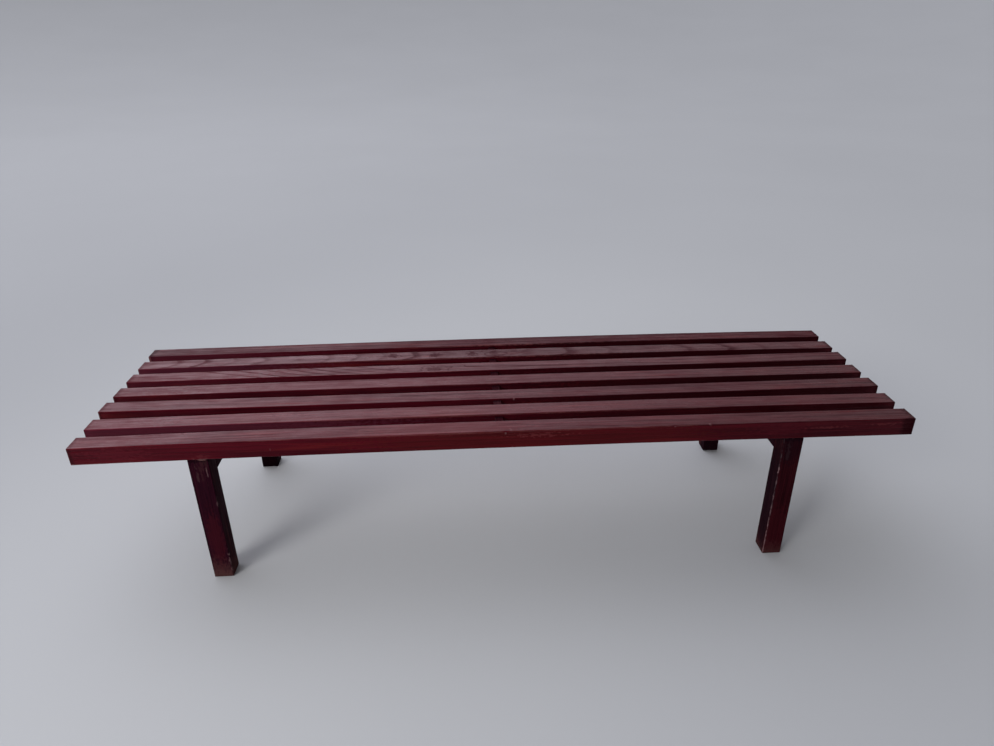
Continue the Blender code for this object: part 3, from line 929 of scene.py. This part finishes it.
# Rail screws
# Ten plated slotted screws, driven up through the rails into the inner slats, their heads sunk in
# counterbores. The plating has dulled and browned in spots.
PLATED_STEEL = (0.560, 0.540, 0.500, 1.0)
TARNISH = (0.230, 0.150, 0.090, 1.0)
TARNISH_SPOTS = ((420.0, 420.0, 420.0), 3.0, 0.50, 0.68)
TURNING_NOISE = ((300.0, 300.0, 4000.0), 1.0)
TURNING_RELIEF = {"Strength": 0.2, "Distance": 0.0001}
PLATED_ROUGHNESS, TARNISHED_ROUGHNESS = 0.34, 0.70
screw_plating, plating_tree, screw_place = blank_material("dulled_screw_plating")
spots = patches(plating_tree, screw_place, TARNISH_SPOTS)
turning = fibres(plating_tree, screw_place, *TURNING_NOISE)
plating_colour = tint(plating_tree, spots, PLATED_STEEL, TARNISH)
plating_roughness = fade(plating_tree, spots, 0.0, 1.0, PLATED_ROUGHNESS, TARNISHED_ROUGHNESS)
plating_relief = node(
    plating_tree, "ShaderNodeBump", {"Height": turning, **TURNING_RELIEF},
).outputs["Normal"]
plating = node(
    plating_tree, "ShaderNodeBsdfPrincipled",
    {
        "Base Color": plating_colour, "Roughness": plating_roughness, "Normal": plating_relief,
        "Metallic": 1.0,
    },
)
node(plating_tree, "ShaderNodeOutputMaterial", {"Surface": plating.outputs[0]})
for name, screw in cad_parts.items():
    if name.startswith("rail_screw_"):
        screw.material_slots[0].material = screw_plating


# Studio
# A plain pale floor, a soft sky that is brighter on the left, one large soft lamp at the front left,
# and the camera at the height and angle that the bench was seen from.
FLOOR_FLAT = 6.0
FLOOR_REACH = 16.0
FLOOR_RISE = 1.9
SWEEP_STEPS = 12
FLOOR_SIDES = 64
FLOOR_DROP = 0.0003
FLOOR_PALE = (0.480, 0.485, 0.490, 1.0)
FLOOR_SHADE = (0.445, 0.450, 0.455, 1.0)
FLOOR_CLOUDING = ((0.9, 0.9, 0.9), 2.0)
FLOOR_ROUGHNESS = 0.7
SKY_LEFT = (1.470, 1.500, 1.660, 1.0)
SKY_RIGHT = (0.300, 0.300, 0.305, 1.0)
SKY_LEFT_TO_RIGHT = (-0.55, 0.60)
SKY_FRONT_TO_BACK = (-0.5, 0.6)
SKY_FRONT_SHARE = 0.25
SKY_BACK_SHARE = 1.50
BACKDROP = (0.385, 0.395, 0.425, 1.0)
LAMP_PLACE = Vector((-2.0, -2.1, 1.6))
LAMP_AIM = Vector((-0.35, -0.20, 0.25))
LAMP_SIZE = 1.4
LAMP_SPREAD = math.radians(44)
LAMP_POWER = 5.4
IMAGE_WIDTH = 994
FOCAL_PIXELS = 708.74
SENSOR_WIDTH = 36.0
CAMERA_PLACE = Vector((-0.0539, -1.2795, 0.9484))
CAMERA_YAW = math.radians(2.596)
CAMERA_PITCH = math.radians(26.311)
CAMERA_ROLL = math.radians(0.692)

ground = bmesh.new()
sweep = [ground.verts.new((0.0, 0.0, -FLOOR_DROP))]
for step in range(SWEEP_STEPS + 1):
    share = step / SWEEP_STEPS
    reach = FLOOR_FLAT + (FLOOR_REACH - FLOOR_FLAT) * share
    sweep.append(ground.verts.new((reach, 0.0, FLOOR_RISE * share ** 2 - FLOOR_DROP)))
profile = [ground.edges.new(pair) for pair in zip(sweep, sweep[1:])]
bmesh.ops.spin(
    ground, geom=sweep + profile, cent=(0, 0, 0), axis=(0, 0, 1), angle=math.tau, steps=FLOOR_SIDES,
    use_merge=True,
)
bmesh.ops.remove_doubles(ground, verts=ground.verts[:], dist=MERGE_REACH)
bmesh.ops.recalc_face_normals(ground, faces=ground.faces[:])
floor_mesh = bpy.data.meshes.new("studio_floor")
ground.to_mesh(floor_mesh)
ground.free()
floor_mesh.shade_smooth()
floor = bpy.data.objects.new("studio_floor", floor_mesh)
scene.collection.objects.link(floor)
floor_paint, floor_tree, floor_place = blank_material("pale_floor")
clouding = fibres(floor_tree, floor_place, *FLOOR_CLOUDING)
floor_colour = tint(floor_tree, clouding, FLOOR_SHADE, FLOOR_PALE)
matt = node(
    floor_tree, "ShaderNodeBsdfPrincipled", {"Base Color": floor_colour, "Roughness": FLOOR_ROUGHNESS},
)
node(floor_tree, "ShaderNodeOutputMaterial", {"Surface": matt.outputs[0]})
floor_mesh.materials.append(floor_paint)

sky = bpy.data.worlds.new("soft_sky")
sky.use_nodes = True
sky_tree = sky.node_tree
sky_tree.nodes.clear()
direction = node(sky_tree, "ShaderNodeTexCoord", {}).outputs["Generated"]
heading = node(sky_tree, "ShaderNodeSeparateXYZ", {0: direction}).outputs
rightwards = fade(sky_tree, heading["X"], *SKY_LEFT_TO_RIGHT)
sky_colour = tint(sky_tree, rightwards, SKY_LEFT, SKY_RIGHT)
sky_strength = fade(sky_tree, heading["Y"], *SKY_FRONT_TO_BACK, SKY_FRONT_SHARE, SKY_BACK_SHARE)
glow = node(sky_tree, "ShaderNodeBackground", {"Color": sky_colour, "Strength": sky_strength})
backdrop = node(sky_tree, "ShaderNodeBackground", {"Color": BACKDROP})
seen = node(sky_tree, "ShaderNodeLightPath", {}).outputs["Is Camera Ray"]
surround = node(sky_tree, "ShaderNodeMixShader", {0: seen, 1: glow.outputs[0], 2: backdrop.outputs[0]})
node(sky_tree, "ShaderNodeOutputWorld", {"Surface": surround.outputs[0]})
scene.world = sky

lamp_light = bpy.data.lights.new("soft_lamp", "AREA")
lamp_light.shape = "SQUARE"
lamp_light.size = LAMP_SIZE
lamp_light.energy = LAMP_POWER
lamp_light.spread = LAMP_SPREAD
lamp = bpy.data.objects.new("soft_lamp", lamp_light)
lamp.location = LAMP_PLACE
lamp.rotation_euler = (LAMP_AIM - LAMP_PLACE).to_track_quat("-Z", "Y").to_euler()
scene.collection.objects.link(lamp)

lens = bpy.data.cameras.new("view")
lens.sensor_fit = "HORIZONTAL"
lens.sensor_width = SENSOR_WIDTH
lens.lens = FOCAL_PIXELS / IMAGE_WIDTH * SENSOR_WIDTH
camera = bpy.data.objects.new("view", lens)
camera.matrix_world = (
    Matrix.Translation(CAMERA_PLACE)
    @ Matrix.Rotation(-CAMERA_YAW, 4, "Z")
    @ Matrix.Rotation(math.pi / 2 - CAMERA_PITCH, 4, "X")
    @ Matrix.Rotation(-CAMERA_ROLL, 4, "Z")
)
scene.collection.objects.link(camera)
scene.camera = camera
scene.view_settings.view_transform = "Standard"
